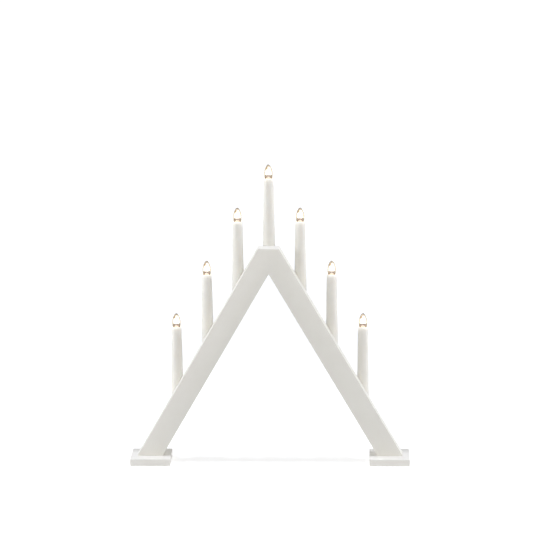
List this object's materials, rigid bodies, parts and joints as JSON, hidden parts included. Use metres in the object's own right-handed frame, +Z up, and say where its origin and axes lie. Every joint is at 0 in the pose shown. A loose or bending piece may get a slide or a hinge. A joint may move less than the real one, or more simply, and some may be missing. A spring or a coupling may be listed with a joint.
{
  "type": "electric candlestick",
  "caption": "Inverted-V electric candlestick: two slanted painted wooden arms on flat feet carry tapered candle sleeves with screw-in flame bulbs.",
  "frame": {"origin": "on the surface that it stands on, under the middle of the object", "axes": "+Z up; +X to the right when facing the front; the front faces -Y"},
  "size_m": [0.4474, 0.0622, 0.481],
  "materials": {
    "painted_wood": "white satin lacquer on fine-grained wood",
    "sleeve_plastic": "smooth translucent white moulded plastic",
    "holder_plastic": "satin off-white moulded plastic",
    "clear_glass": "clear, smooth, lit from inside",
    "cap_brass": "rolled, slightly dull",
    "solder": "dull grey solder",
    "filament": "glowing coil on thin support wires",
    "wire_cover": "thin white insulation",
    "zinc_steel": "zinc plated",
    "beech": "raw pressed beech"
  },
  "bodies": {
    "stand": {"arm_left": "painted_wood", "arm_right": "painted_wood", "foot_left": "painted_wood", "foot_right": "painted_wood", "mitre_biscuit": "beech", "cord_inlet": "holder_plastic", "wire_feed": "wire_cover", "wire_return": "wire_cover", "foot_screw_left_1": "zinc_steel", "foot_screw_left_2": "zinc_steel", "foot_screw_right_1": "zinc_steel", "foot_screw_right_2": "zinc_steel", "wire_link_1": "wire_cover", "wire_link_2": "wire_cover", "wire_link_3": "wire_cover", "wire_link_4": "wire_cover", "wire_link_5": "wire_cover", "wire_link_6": "wire_cover", "lampholder_1": "holder_plastic", "candle_sleeve_1": "sleeve_plastic", "lampholder_2": "holder_plastic", "candle_sleeve_2": "sleeve_plastic", "lampholder_3": "holder_plastic", "candle_sleeve_3": "sleeve_plastic", "lampholder_4": "holder_plastic", "candle_sleeve_4": "sleeve_plastic", "lampholder_5": "holder_plastic", "candle_sleeve_5": "sleeve_plastic", "lampholder_6": "holder_plastic", "candle_sleeve_6": "sleeve_plastic", "lampholder_7": "holder_plastic", "candle_sleeve_7": "sleeve_plastic"},
    "bulb_tip_1": {"bulb_contact_1": "solder"},
    "bulb_1": {"bulb_glass_1": "clear_glass", "bulb_cap_1": "cap_brass", "bulb_filament_1": "filament"},
    "bulb_tip_2": {"bulb_contact_2": "solder"},
    "bulb_2": {"bulb_glass_2": "clear_glass", "bulb_cap_2": "cap_brass", "bulb_filament_2": "filament"},
    "bulb_tip_3": {"bulb_contact_3": "solder"},
    "bulb_3": {"bulb_glass_3": "clear_glass", "bulb_cap_3": "cap_brass", "bulb_filament_3": "filament"},
    "bulb_tip_4": {"bulb_contact_4": "solder"},
    "bulb_4": {"bulb_glass_4": "clear_glass", "bulb_cap_4": "cap_brass", "bulb_filament_4": "filament"},
    "bulb_tip_5": {"bulb_contact_5": "solder"},
    "bulb_5": {"bulb_glass_5": "clear_glass", "bulb_cap_5": "cap_brass", "bulb_filament_5": "filament"},
    "bulb_tip_6": {"bulb_contact_6": "solder"},
    "bulb_6": {"bulb_glass_6": "clear_glass", "bulb_cap_6": "cap_brass", "bulb_filament_6": "filament"},
    "bulb_tip_7": {"bulb_contact_7": "solder"},
    "bulb_7": {"bulb_glass_7": "clear_glass", "bulb_cap_7": "cap_brass", "bulb_filament_7": "filament"}
  },
  "joints": [
    {"name": "bulb_1_rise", "type": "slide", "parent": "stand", "child": "bulb_tip_1", "axis": [0, 0, 1], "range_m": [0, 0.0055]},
    {"name": "bulb_1_turn", "type": "hinge", "parent": "bulb_tip_1", "child": "bulb_1", "pos_m": [-0.1491, 0.0221, 0.2], "axis": [0, 0, 1], "range_deg": [0, 1080]},
    {"name": "bulb_2_rise", "type": "slide", "parent": "stand", "child": "bulb_tip_2", "axis": [0, 0, 1], "range_m": [0, 0.0055]},
    {"name": "bulb_2_turn", "type": "hinge", "parent": "bulb_tip_2", "child": "bulb_2", "pos_m": [-0.0994, 0.0221, 0.2], "axis": [0, 0, 1], "range_deg": [0, 1080]},
    {"name": "bulb_3_rise", "type": "slide", "parent": "stand", "child": "bulb_tip_3", "axis": [0, 0, 1], "range_m": [0, 0.0055]},
    {"name": "bulb_3_turn", "type": "hinge", "parent": "bulb_tip_3", "child": "bulb_3", "pos_m": [-0.0497, 0.0221, 0.2], "axis": [0, 0, 1], "range_deg": [0, 1080]},
    {"name": "bulb_4_rise", "type": "slide", "parent": "stand", "child": "bulb_tip_4", "axis": [0, 0, 1], "range_m": [0, 0.0055]},
    {"name": "bulb_4_turn", "type": "hinge", "parent": "bulb_tip_4", "child": "bulb_4", "pos_m": [0, 0.0221, 0.2], "axis": [0, 0, 1], "range_deg": [0, 1080]},
    {"name": "bulb_5_rise", "type": "slide", "parent": "stand", "child": "bulb_tip_5", "axis": [0, 0, 1], "range_m": [0, 0.0055]},
    {"name": "bulb_5_turn", "type": "hinge", "parent": "bulb_tip_5", "child": "bulb_5", "pos_m": [0.0497, 0.0221, 0.2], "axis": [0, 0, 1], "range_deg": [0, 1080]},
    {"name": "bulb_6_rise", "type": "slide", "parent": "stand", "child": "bulb_tip_6", "axis": [0, 0, 1], "range_m": [0, 0.0055]},
    {"name": "bulb_6_turn", "type": "hinge", "parent": "bulb_tip_6", "child": "bulb_6", "pos_m": [0.0994, 0.0221, 0.2], "axis": [0, 0, 1], "range_deg": [0, 1080]},
    {"name": "bulb_7_rise", "type": "slide", "parent": "stand", "child": "bulb_tip_7", "axis": [0, 0, 1], "range_m": [0, 0.0055]},
    {"name": "bulb_7_turn", "type": "hinge", "parent": "bulb_tip_7", "child": "bulb_7", "pos_m": [0.1491, 0.0221, 0.2], "axis": [0, 0, 1], "range_deg": [0, 1080]}
  ],
  "couplings": [
    {"joint": "bulb_1_rise", "follows": "bulb_1_turn", "m_per_rad": 0.00028807},
    {"joint": "bulb_2_rise", "follows": "bulb_2_turn", "m_per_rad": 0.00028807},
    {"joint": "bulb_3_rise", "follows": "bulb_3_turn", "m_per_rad": 0.00028807},
    {"joint": "bulb_4_rise", "follows": "bulb_4_turn", "m_per_rad": 0.00028807},
    {"joint": "bulb_5_rise", "follows": "bulb_5_turn", "m_per_rad": 0.00028807},
    {"joint": "bulb_6_rise", "follows": "bulb_6_turn", "m_per_rad": 0.00028807},
    {"joint": "bulb_7_rise", "follows": "bulb_7_turn", "m_per_rad": 0.00028807}
  ]
}
